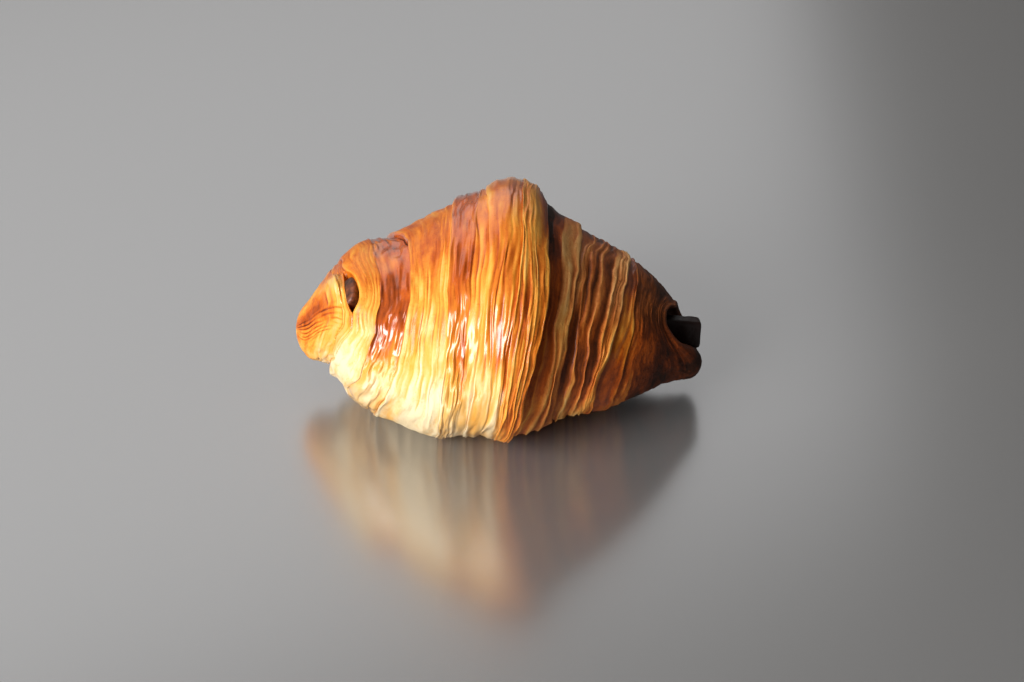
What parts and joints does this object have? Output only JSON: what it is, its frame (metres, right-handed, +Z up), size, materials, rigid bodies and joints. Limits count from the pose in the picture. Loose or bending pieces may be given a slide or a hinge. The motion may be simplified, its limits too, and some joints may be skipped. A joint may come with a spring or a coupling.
{
  "type": "chocolate croissant",
  "caption": "Plump butter croissant lying on its flat underside, its wraps stepped and flaky, with a dark chocolate bar showing at an end slit and out of the open end.",
  "frame": {"origin": "centre of the bounding box at the surface the croissant lies on", "axes": "+X along the roll from its closed tip to its open end, -Y towards the side with the slit, +Z up"},
  "size_m": [0.1283, 0.0952, 0.0727],
  "materials": {
    "pastry": "egg-washed baked dough: glossy orange-brown skin, pale cream layers at the cut edges and low on the sides",
    "chocolate": "dark baked chocolate, dull with a soft sheen"
  },
  "bodies": {
    "root": {"pastry": "pastry", "chocolate_bar": "chocolate"}
  },
  "joints": []
}
